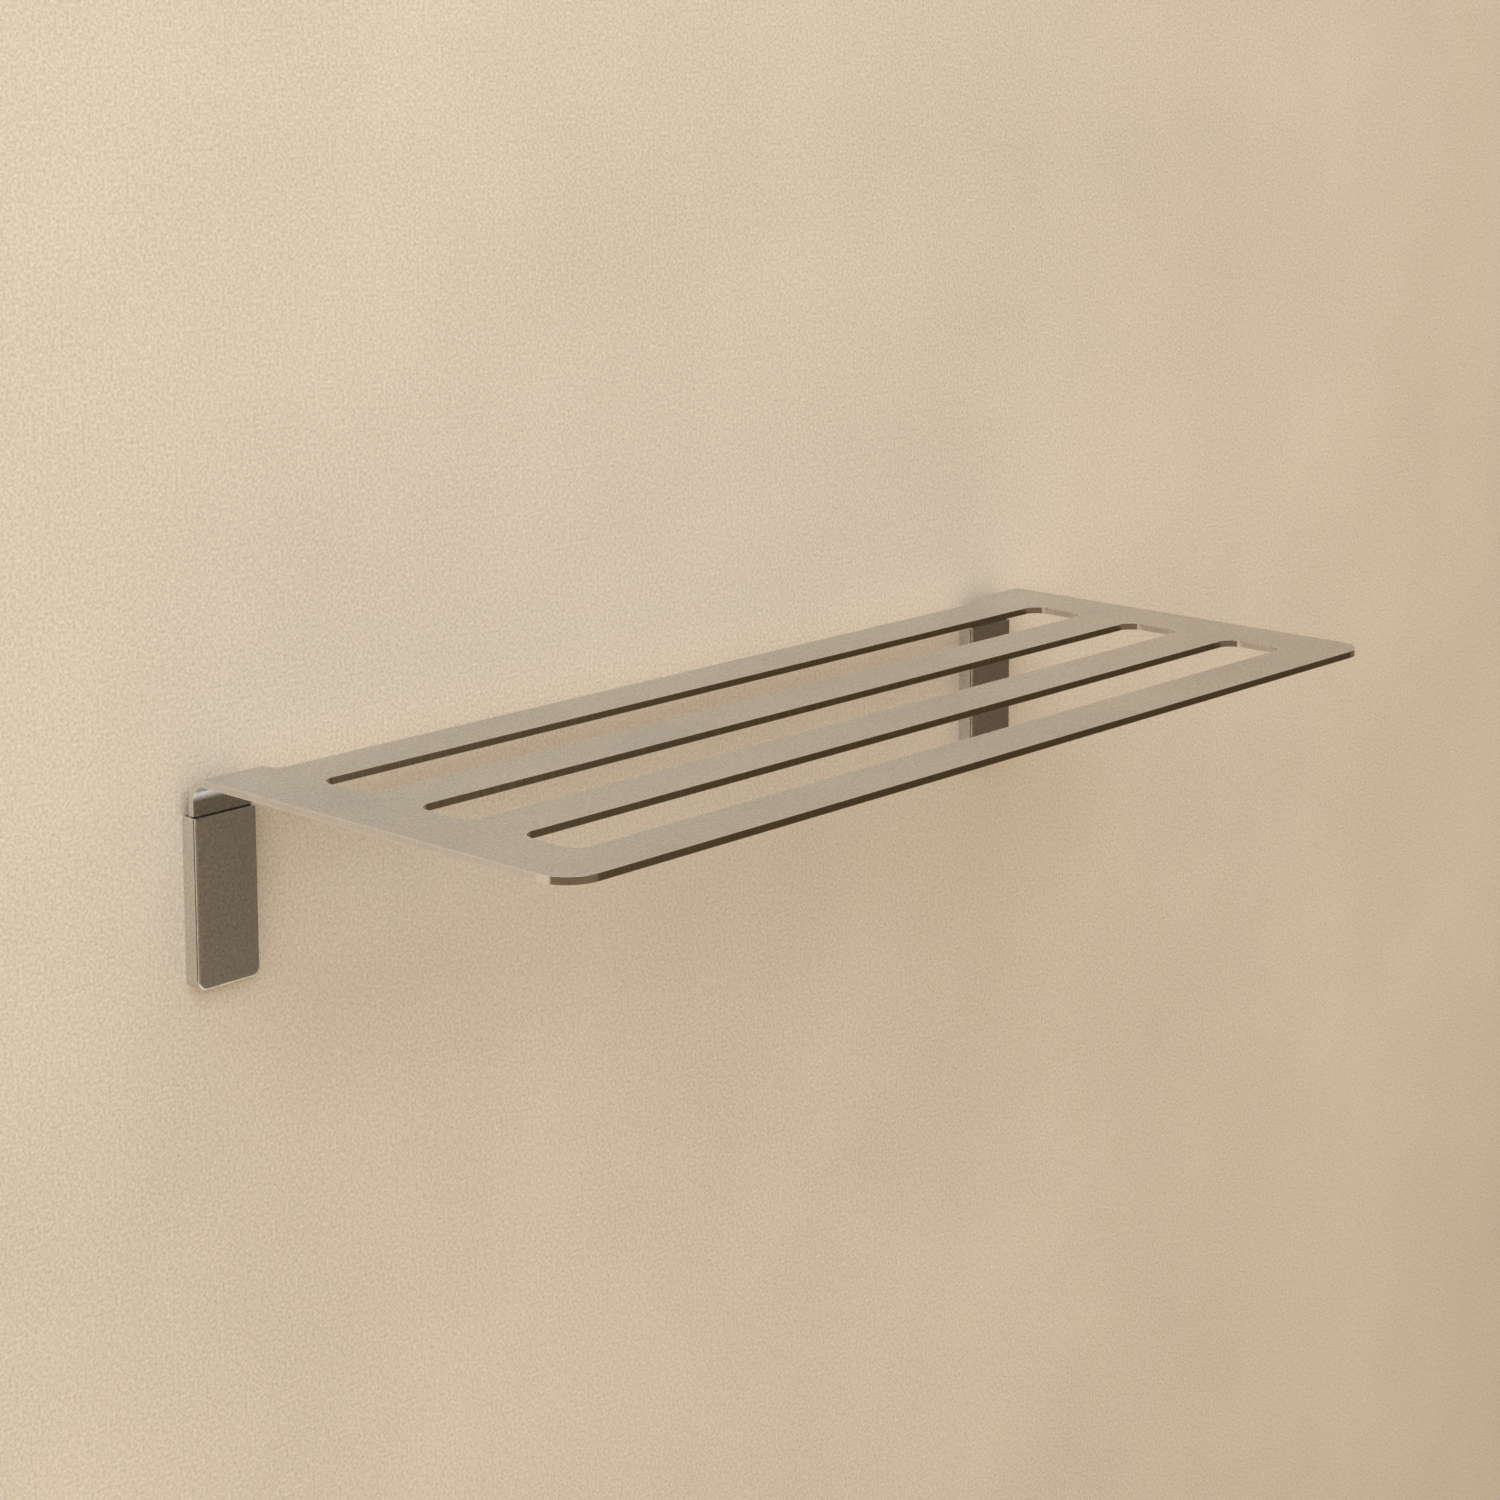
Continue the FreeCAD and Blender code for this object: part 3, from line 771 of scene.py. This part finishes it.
for side, sign in SIDES.items():
    centre_x = sign * tab_centre
    half = COVER_WIDTH / 2
    inner_half = half - COVER_WALL
    bm = start_mesh()
    floor_line = COVER_BOTTOM + COVER_BASE
    inner_corner = COVER_CORNER - COVER_WALL
    add_outline(bm, [
        (-half, COVER_TOP, 0), (-half, COVER_BOTTOM, COVER_CORNER),
        (half, COVER_BOTTOM, COVER_CORNER), (half, COVER_TOP, 0),
        (inner_half, COVER_TOP, 0), (inner_half, floor_line, inner_corner),
        (-inner_half, floor_line, inner_corner), (-inner_half, COVER_TOP, 0)],
        COVER_DEPTH - COVER_WALL)
    walls = bm.faces[:][0]
    hollow = [
        edge for edge in bm.edges
        if all(abs(vert.co.x) < inner_half + NEAR and vert.co.y > floor_line - NEAR
               for vert in edge.verts)]
    mouth = [vert for vert in bm.verts
             if abs(abs(vert.co.x) - inner_half) < NEAR and vert.co.y > COVER_TOP - NEAR]
    bmesh.ops.edgeloop_fill(bm, edges=hollow + [bm.edges.new(mouth)])
    thicken(bm, bm.faces[:], COVER_WALL)
    draw_out(bm, [walls], (0, 0, COVER_WALL - COVER_DEPTH))
    front = [face for face in bm.faces if all(vert.co.z > COVER_DEPTH - NEAR for vert in face.verts)]
    bmesh.ops.dissolve_faces(bm, faces=front, use_verts=False)
    for edge_sign in SIDES.values():
        for place, across in (((0, 0, COVER_WALL), (0, 0, 1)), ((0, LIP_BOTTOM, 0), (0, 1, 0))):
            cut_faces(bm, hollow_wall(bm, edge_sign * inner_half), place, across)
        lip = [
            face for face in hollow_wall(bm, edge_sign * inner_half)
            if face.calc_center_median().z < COVER_WALL and face.calc_center_median().y > LIP_BOTTOM]
        draw_out(bm, lip, (-edge_sign * LIP_WIDTH, 0, 0))
    seat_end = COVER_BOTTOM + COVER_SEAT_MOUTH - COVER_SEAT_HOLE
    seat = drill(
        bm, flat_face_at(bm, 0, COVER_BOTTOM, COVER_SCREW_DEPTH),
        (0, COVER_BOTTOM, COVER_SCREW_DEPTH), ALONG_HEIGHT, COVER_SEAT_MOUTH, HOLE_FACETS)
    neck = add_ring(
        bm, COVER_SEAT_HOLE, (0, seat_end, COVER_SCREW_DEPTH), ALONG_HEIGHT, HOLE_FACETS)
    inside = drill(
        bm, flat_face_at(bm, 0, floor_line, COVER_SCREW_DEPTH),
        (0, floor_line, COVER_SCREW_DEPTH), ALONG_HEIGHT, COVER_SEAT_HOLE, HOLE_FACETS)
    join_rings(bm, [seat, neck, inside])
    bmesh.ops.recalc_face_normals(bm, faces=bm.faces[:])
    front_rim = ease_edges(
        bm, COVER_EDGE, segments=5, chosen=lambda edge: all(
            vert.co.z > COVER_DEPTH - NEAR for vert in edge.verts)
        and not all(vert.co.y > COVER_TOP - NEAR for vert in edge.verts))
    top_rim = ease_edges(bm, COVER_TOP_EASE, chosen=lambda edge: all(
        vert.co.y > COVER_TOP - NEAR for vert in edge.verts))
    keep_wear_to_edges(bm, front_rim | top_rim, COVER_WEAR, COVER_BROAD_FLAT)
    lay_against_wall(bm, centre_x)
    finish_piece(side + "_case", bm, [satin_cover], side + "_cover", [side + "_cover"])


# ---------------------------------------------------------------------------------------
# Wall plugs: grey moulded nylon, 8 mm across, with saw teeth that grip the hole.
# Four slits part the middle into legs, which the wall screw spreads.
# ---------------------------------------------------------------------------------------
PLUG_RADIUS = 4.0 * MM
PLUG_LENGTH = 40.0 * MM
PLUG_BORE = 2.3 * MM
PLUG_COLLAR = 6.0 * MM
PLUG_NOSE = 4.0 * MM
PLUG_TEETH = 8
TOOTH_DEPTH = 0.7 * MM
PLUG_FACETS = 40
SLIT_COUNT = 4
PLUG_GREY = (0.50, 0.51, 0.52, 1)
PLUG_GREY_DEEP = (0.43, 0.44, 0.45, 1)
PLUG_SCUFFED = (0.64, 0.65, 0.65, 1)

nylon, tree, shader = start_material("nylon_plug")
place = object_coordinates(tree)
satin = add_node(tree, "ShaderNodeGroup", {"node_tree": satin_group}, {
    "Place": place, "Grain Scale": 3200.0, "Cloud Scale": 160.0})
edge = add_node(tree, "ShaderNodeAttribute", {"attribute_name": WEAR_LAYER})
wear = add_node(tree, "ShaderNodeGroup", {"node_tree": wear_group}, {
    "Place": place, "Edge": edge.outputs["Fac"], "Breakup Scale": 500.0})
base = mix_colours(tree, satin.outputs["Cloud"], PLUG_GREY, PLUG_GREY_DEEP)
scuffed = mix_colours(tree, wear.outputs["Wear"], base, PLUG_SCUFFED)
tree.links.new(scuffed, shader.inputs["Base Color"])
tree.links.new(remap(tree, satin.outputs["Grain"], 0, 1, 0.38, 0.55), shader.inputs["Roughness"])
shader.inputs["Subsurface Weight"].default_value = 0.15
shader.inputs["Subsurface Radius"].default_value = (MM, MM, MM)
raise_surface(tree, shader, satin.outputs["Grain"], 0.3, 0.03 * MM)


def plug_profile():
    """Cross-section of the plug's wall, as (radius, distance from the face)."""
    pitch = (PLUG_LENGTH - PLUG_COLLAR - PLUG_NOSE) / PLUG_TEETH
    outer = [(PLUG_RADIUS - 0.3 * MM, 0), (PLUG_RADIUS, 0.3 * MM), (PLUG_RADIUS, PLUG_COLLAR)]
    for index in range(PLUG_TEETH):
        start = PLUG_COLLAR + index * pitch
        outer.append((PLUG_RADIUS - TOOTH_DEPTH, start + 0.15 * pitch))
        outer.append((PLUG_RADIUS, start + pitch))
    outer.append((PLUG_RADIUS - 0.9 * MM, PLUG_LENGTH))
    levels = (PLUG_LENGTH, PLUG_LENGTH - PLUG_NOSE, PLUG_COLLAR, 0)
    return outer + [(PLUG_BORE, level) for level in levels]


def spin_profile(bm, profile, facets):
    """Turn a closed cross-section, given as (radius, height), once round the Z axis."""
    points = [bm.verts.new((radius, 0, height)) for radius, height in profile]
    edges = [bm.edges.new(pair) for pair in zip(points, points[1:] + points[:1])]
    bmesh.ops.spin(
        bm, geom=points + edges, cent=(0, 0, 0), axis=(0, 0, 1), dvec=(0, 0, 0),
        angle=math.radians(360), steps=facets, use_merge=True, use_duplicate=False)
    bmesh.ops.remove_doubles(bm, verts=bm.verts[:], dist=NEAR / 10)
    bmesh.ops.recalc_face_normals(bm, faces=bm.faces[:])


for side, sign in SIDES.items():
    for level, height in WALL_SCREW_HEIGHTS.items():
        bm = start_mesh()
        spin_profile(bm, plug_profile(), PLUG_FACETS)
        facet = math.radians(360) / PLUG_FACETS
        for slit in range(SLIT_COUNT):
            middle = math.radians(360) * slit / SLIT_COUNT + facet / 2
            across = Vector((math.cos(middle), math.sin(middle)))
            cut = []
            for face in bm.faces:
                centre = face.calc_center_median()
                out = Vector((centre.x, centre.y))
                in_length = PLUG_COLLAR < centre.z < PLUG_LENGTH - PLUG_NOSE
                if in_length and out.normalized().dot(across) > math.cos(facet / 4):
                    cut.append(face)
            outer = {f for f in cut if Vector(f.calc_center_median().xy).length > PLUG_BORE + 0.5 * MM}
            inner = set(cut) - outer
            outer_rim = [e for f in outer for e in f.edges if len(set(e.link_faces) & outer) == 1]
            inner_rim = [e for f in inner for e in f.edges if len(set(e.link_faces) & inner) == 1]
            bmesh.ops.delete(bm, geom=cut, context="FACES")
            bmesh.ops.bridge_loops(bm, edges=list(set(outer_rim) | set(inner_rim)))
        bmesh.ops.recalc_face_normals(bm, faces=bm.faces[:])
        layer = bm.verts.layers.float[WEAR_LAYER]
        for vert in bm.verts:
            vert[layer] = 1.0 if vert.co.xy.length > PLUG_RADIUS - 0.05 * MM else 0.0
        bmesh.ops.rotate(bm, verts=bm.verts[:], matrix=Matrix.Rotation(math.radians(-90), 3, "X"))
        bmesh.ops.translate(bm, verts=bm.verts[:], vec=(sign * tab_centre, 0, height))
        name = side + "_" + level + "_"
        finish_piece(name + "plug", bm, [nylon], "rack", [name + "wall_plug"])


# ---------------------------------------------------------------------------------------
# Wall screws: 4.5 x 50 countersunk chipboard screws, rolled and yellow zinc plated.
# They pass through the plates into the plugs, and their points stand out behind.
# ---------------------------------------------------------------------------------------
WALL_SCREW_RADIUS = 2.25 * MM
WALL_SCREW_ROOT = 1.55 * MM
WALL_SCREW_HEAD = 4.2 * MM
WALL_SCREW_LENGTH = 50.0 * MM
WALL_SCREW_POINT = 5.0 * MM
WALL_SCREW_PITCH = 2.2 * MM
WALL_SCREW_PLAIN = 12.0 * MM
WALL_SCREW_PLACE = -5.5 * MM
POINT_TAPER = 0.88
CROSS_REACH = 2.5 * MM
CROSS_HALF_WIDTH = 0.59 * MM
CROSS_DEPTH = 1.9 * MM
HEAD_BREAK = 0.12 * MM
RECESS_TAPER = 0.86
SCREW_FACETS = 32
UPRIGHT = Matrix.Identity(4)


def cut_thread(bm, start, length, root, crest, pitch, facets):
    """Helical thread down the Z axis. Gives the edge rings at its upper and lower ends."""
    turns = int(length / pitch)
    points = []
    for index in range(2 * turns + 1):
        radius = crest if index % 2 else root
        points.append(bm.verts.new((radius, 0, start - index * pitch / 2)))
    edges = [bm.edges.new(pair) for pair in zip(points, points[1:])]
    before = set(bm.verts) - set(points)
    bmesh.ops.spin(
        bm, geom=points + edges, cent=(0, 0, 0), axis=(0, 0, 1),
        dvec=(0, 0, -pitch / facets), angle=math.radians(360), steps=facets,
        use_merge=False, use_duplicate=False)
    thread = [vert for vert in bm.verts if vert not in before]
    bmesh.ops.remove_doubles(bm, verts=thread, dist=NEAR / 10)
    loose_rims = [edge for edge in bm.edges if len(edge.link_faces) == 1]
    finish = start - (turns + 1) * pitch
    middle = start - length / 2
    for edge in loose_rims:
        for vert in edge.verts:
            if vert in before:
                continue
            around = Vector((vert.co.x, vert.co.y)).normalized() * root
            level = start if vert.co.z > middle else finish
            vert.co = (around.x, around.y, level)
    thread = [vert for vert in bm.verts if vert not in before]
    bmesh.ops.remove_doubles(bm, verts=thread, dist=NEAR / 10)
    rims = [edge for edge in bm.edges if len(edge.link_faces) == 1]
    upper = [edge for edge in rims if all(abs(vert.co.z - start) < NEAR for vert in edge.verts)]
    lower = [edge for edge in rims if all(abs(vert.co.z - finish) < NEAR for vert in edge.verts)]
    return upper, lower, finish


def head_with_recess(bm, head, shank, recess, depth):
    """Flat countersunk head around a driving recess. Gives the ring below the head."""
    rim = add_ring(bm, head - HEAD_BREAK, (0, 0, 0), UPRIGHT, SCREW_FACETS)
    bmesh.ops.triangle_fill(bm, use_beauty=True, edges=rim + recess, normal=(0, 0, 1))
    sunk = bmesh.ops.extrude_edge_only(bm, edges=recess)
    lowered = [item for item in sunk["geom"] if isinstance(item, bmesh.types.BMVert)]
    floor_edges = [item for item in sunk["geom"] if isinstance(item, bmesh.types.BMEdge)
                   and all(vert in lowered for vert in item.verts)]
    bmesh.ops.translate(bm, verts=lowered, vec=(0, 0, -depth))
    bmesh.ops.scale(bm, verts=lowered, vec=(RECESS_TAPER, RECESS_TAPER, 1))
    bmesh.ops.edgeloop_fill(bm, edges=floor_edges)
    edge_ring = add_ring(bm, head, (0, 0, -HEAD_BREAK), UPRIGHT, SCREW_FACETS)
    neck = add_ring(bm, shank, (0, 0, -(head - shank)), UPRIGHT, SCREW_FACETS)
    join_rings(bm, [rim, edge_ring, neck])
    layer = bm.verts.layers.float[WEAR_LAYER]
    for edge in rim + edge_ring + recess:
        for vert in edge.verts:
            vert[layer] = 1.0
    return neck


def cross_recess(bm):
    """Outline of a cross, as the arms pulled out of a small square."""
    bmesh.ops.create_grid(bm, x_segments=1, y_segments=1, size=CROSS_HALF_WIDTH)
    for edge in bm.edges[:]:
        middle = (edge.verts[0].co + edge.verts[1].co) / 2
        arm = bmesh.ops.extrude_edge_only(bm, edges=[edge])
        moved = [item for item in arm["geom"] if isinstance(item, bmesh.types.BMVert)]
        reach = middle.normalized() * (CROSS_REACH - CROSS_HALF_WIDTH)
        bmesh.ops.translate(bm, verts=moved, vec=reach)
    outline = [edge for edge in bm.edges if len(edge.link_faces) == 1]
    inner = [edge for edge in bm.edges if len(edge.link_faces) == 2]
    bmesh.ops.delete(bm, geom=bm.faces[:], context="FACES_ONLY")
    bmesh.ops.delete(bm, geom=inner, context="EDGES")
    return outline


zinc_screw = plated_metal("zinc_screw", (0.66, 0.60, 0.44, 1), (0.60, 0.56, 0.50, 1), 0.28, 2400.0)

for side, sign in SIDES.items():
    for level, height in WALL_SCREW_HEIGHTS.items():
        bm = start_mesh()
        recess = cross_recess(bm)
        neck = head_with_recess(bm, WALL_SCREW_HEAD, WALL_SCREW_ROOT, recess, CROSS_DEPTH)
        thread_start = -WALL_SCREW_PLAIN
        plain = add_ring(
            bm, WALL_SCREW_ROOT, (0, 0, thread_start + 0.5 * MM), UPRIGHT, SCREW_FACETS)
        thread_length = WALL_SCREW_LENGTH - WALL_SCREW_PLAIN - WALL_SCREW_PITCH
        upper, lower, finish = cut_thread(
            bm, thread_start, thread_length, WALL_SCREW_ROOT, WALL_SCREW_RADIUS,
            WALL_SCREW_PITCH, SCREW_FACETS)
        join_rings(bm, [neck, plain, upper])
        bmesh.ops.edgeloop_fill(bm, edges=lower)
        point_start = WALL_SCREW_POINT - WALL_SCREW_LENGTH
        for vert in bm.verts:
            if vert.co.z < point_start:
                narrow = 1 - POINT_TAPER * (point_start - vert.co.z) / (point_start - finish)
                vert.co.x *= narrow
                vert.co.y *= narrow
        tip = [vert for vert in bm.verts if vert.co.z < finish + NEAR]
        bmesh.ops.translate(bm, verts=tip, vec=(0, 0, -WALL_SCREW_LENGTH - finish))
        bmesh.ops.recalc_face_normals(bm, faces=bm.faces[:])
        bmesh.ops.rotate(bm, verts=bm.verts[:], matrix=Matrix.Rotation(math.radians(90), 3, "X"))
        bmesh.ops.translate(bm, verts=bm.verts[:], vec=(sign * tab_centre, WALL_SCREW_PLACE, height))
        name = side + "_" + level + "_"
        finish_piece(
            name + "chipboard_screw", bm, [zinc_screw], "rack", [name + "wall_screw"])


# ---------------------------------------------------------------------------------------
# Clamp screws: M4 x 8 countersunk stainless screws with hexagon sockets. Two hold each
# tongue to its wall plate, flush with the tongue's face.
# ---------------------------------------------------------------------------------------
CLAMP_SCREW_RADIUS = 2.0 * MM
CLAMP_SCREW_ROOT = 1.6 * MM
CLAMP_SCREW_HEAD = 3.8 * MM
CLAMP_SCREW_LENGTH = 8.0 * MM
CLAMP_SCREW_PITCH = 0.7 * MM
TONGUE_FACE = -9.0 * MM
SOCKET_TO_SHANK = 0.62
SOCKET_SIDES = 6

stainless_screw = satin_metal(
    "stainless_screw", (0.60, 0.59, 0.57, 1), (0.80, 0.79, 0.78, 1),
    roughness=0.24, grain_scale=3000.0, grain_stretch=(1, 1, 1), relief=0.2, spread=0.06)


def machine_screw(bm, radius, root, head, length, pitch):
    """Countersunk screw with a hexagon socket, its head's top at the origin."""
    socket = add_ring(
        bm, radius * SOCKET_TO_SHANK * 2 / math.sqrt(3), (0, 0, 0), UPRIGHT, SOCKET_SIDES)
    neck = head_with_recess(bm, head, radius, socket, (head - radius) * 0.9)
    thread_start = -(head - radius) - pitch / 2
    turns = int((length + thread_start) / pitch) - 1
    upper, lower, finish = cut_thread(
        bm, thread_start, turns * pitch, root, radius, pitch, SCREW_FACETS)
    end = add_ring(bm, root * 0.85, (0, 0, -length), UPRIGHT, SCREW_FACETS)
    join_rings(bm, [neck, upper])
    join_rings(bm, [lower, end])
    bmesh.ops.edgeloop_fill(bm, edges=end)
    bmesh.ops.recalc_face_normals(bm, faces=bm.faces[:])


for side, sign in SIDES.items():
    for level, height in zip(("upper", "lower"), CLAMP_HEIGHTS):
        bm = start_mesh()
        machine_screw(
            bm, CLAMP_SCREW_RADIUS, CLAMP_SCREW_ROOT, CLAMP_SCREW_HEAD, CLAMP_SCREW_LENGTH,
            CLAMP_SCREW_PITCH)
        bmesh.ops.rotate(bm, verts=bm.verts[:], matrix=Matrix.Rotation(math.radians(90), 3, "X"))
        bmesh.ops.translate(bm, verts=bm.verts[:], vec=(sign * tab_centre, TONGUE_FACE, height))
        name = side + "_" + level + "_"
        finish_piece(
            name + "m4_screw", bm, [stainless_screw], "rack",
            [name + "clamp_screw"])


# ---------------------------------------------------------------------------------------
# Cover screws: M3 x 8 countersunk stainless screws. One goes up through the seat in each
# cover's base into the wall plate, so it can't be seen from in front.
# ---------------------------------------------------------------------------------------
COVER_SCREW_RADIUS = 1.5 * MM
COVER_SCREW_ROOT = 1.2 * MM
COVER_SCREW_HEAD = 2.75 * MM
COVER_SCREW_LENGTH = 8.0 * MM
COVER_SCREW_PITCH = 0.5 * MM

for side, sign in SIDES.items():
    bm = start_mesh()
    machine_screw(
        bm, COVER_SCREW_RADIUS, COVER_SCREW_ROOT, COVER_SCREW_HEAD, COVER_SCREW_LENGTH,
        COVER_SCREW_PITCH)
    bmesh.ops.rotate(bm, verts=bm.verts[:], matrix=Matrix.Rotation(math.radians(180), 3, "X"))
    bmesh.ops.translate(
        bm, verts=bm.verts[:], vec=(sign * tab_centre, -COVER_SCREW_DEPTH, COVER_BOTTOM))
    finish_piece(
        side + "_m3_screw", bm, [stainless_screw], side + "_cover_screw",
        [side + "_cover_screw"])
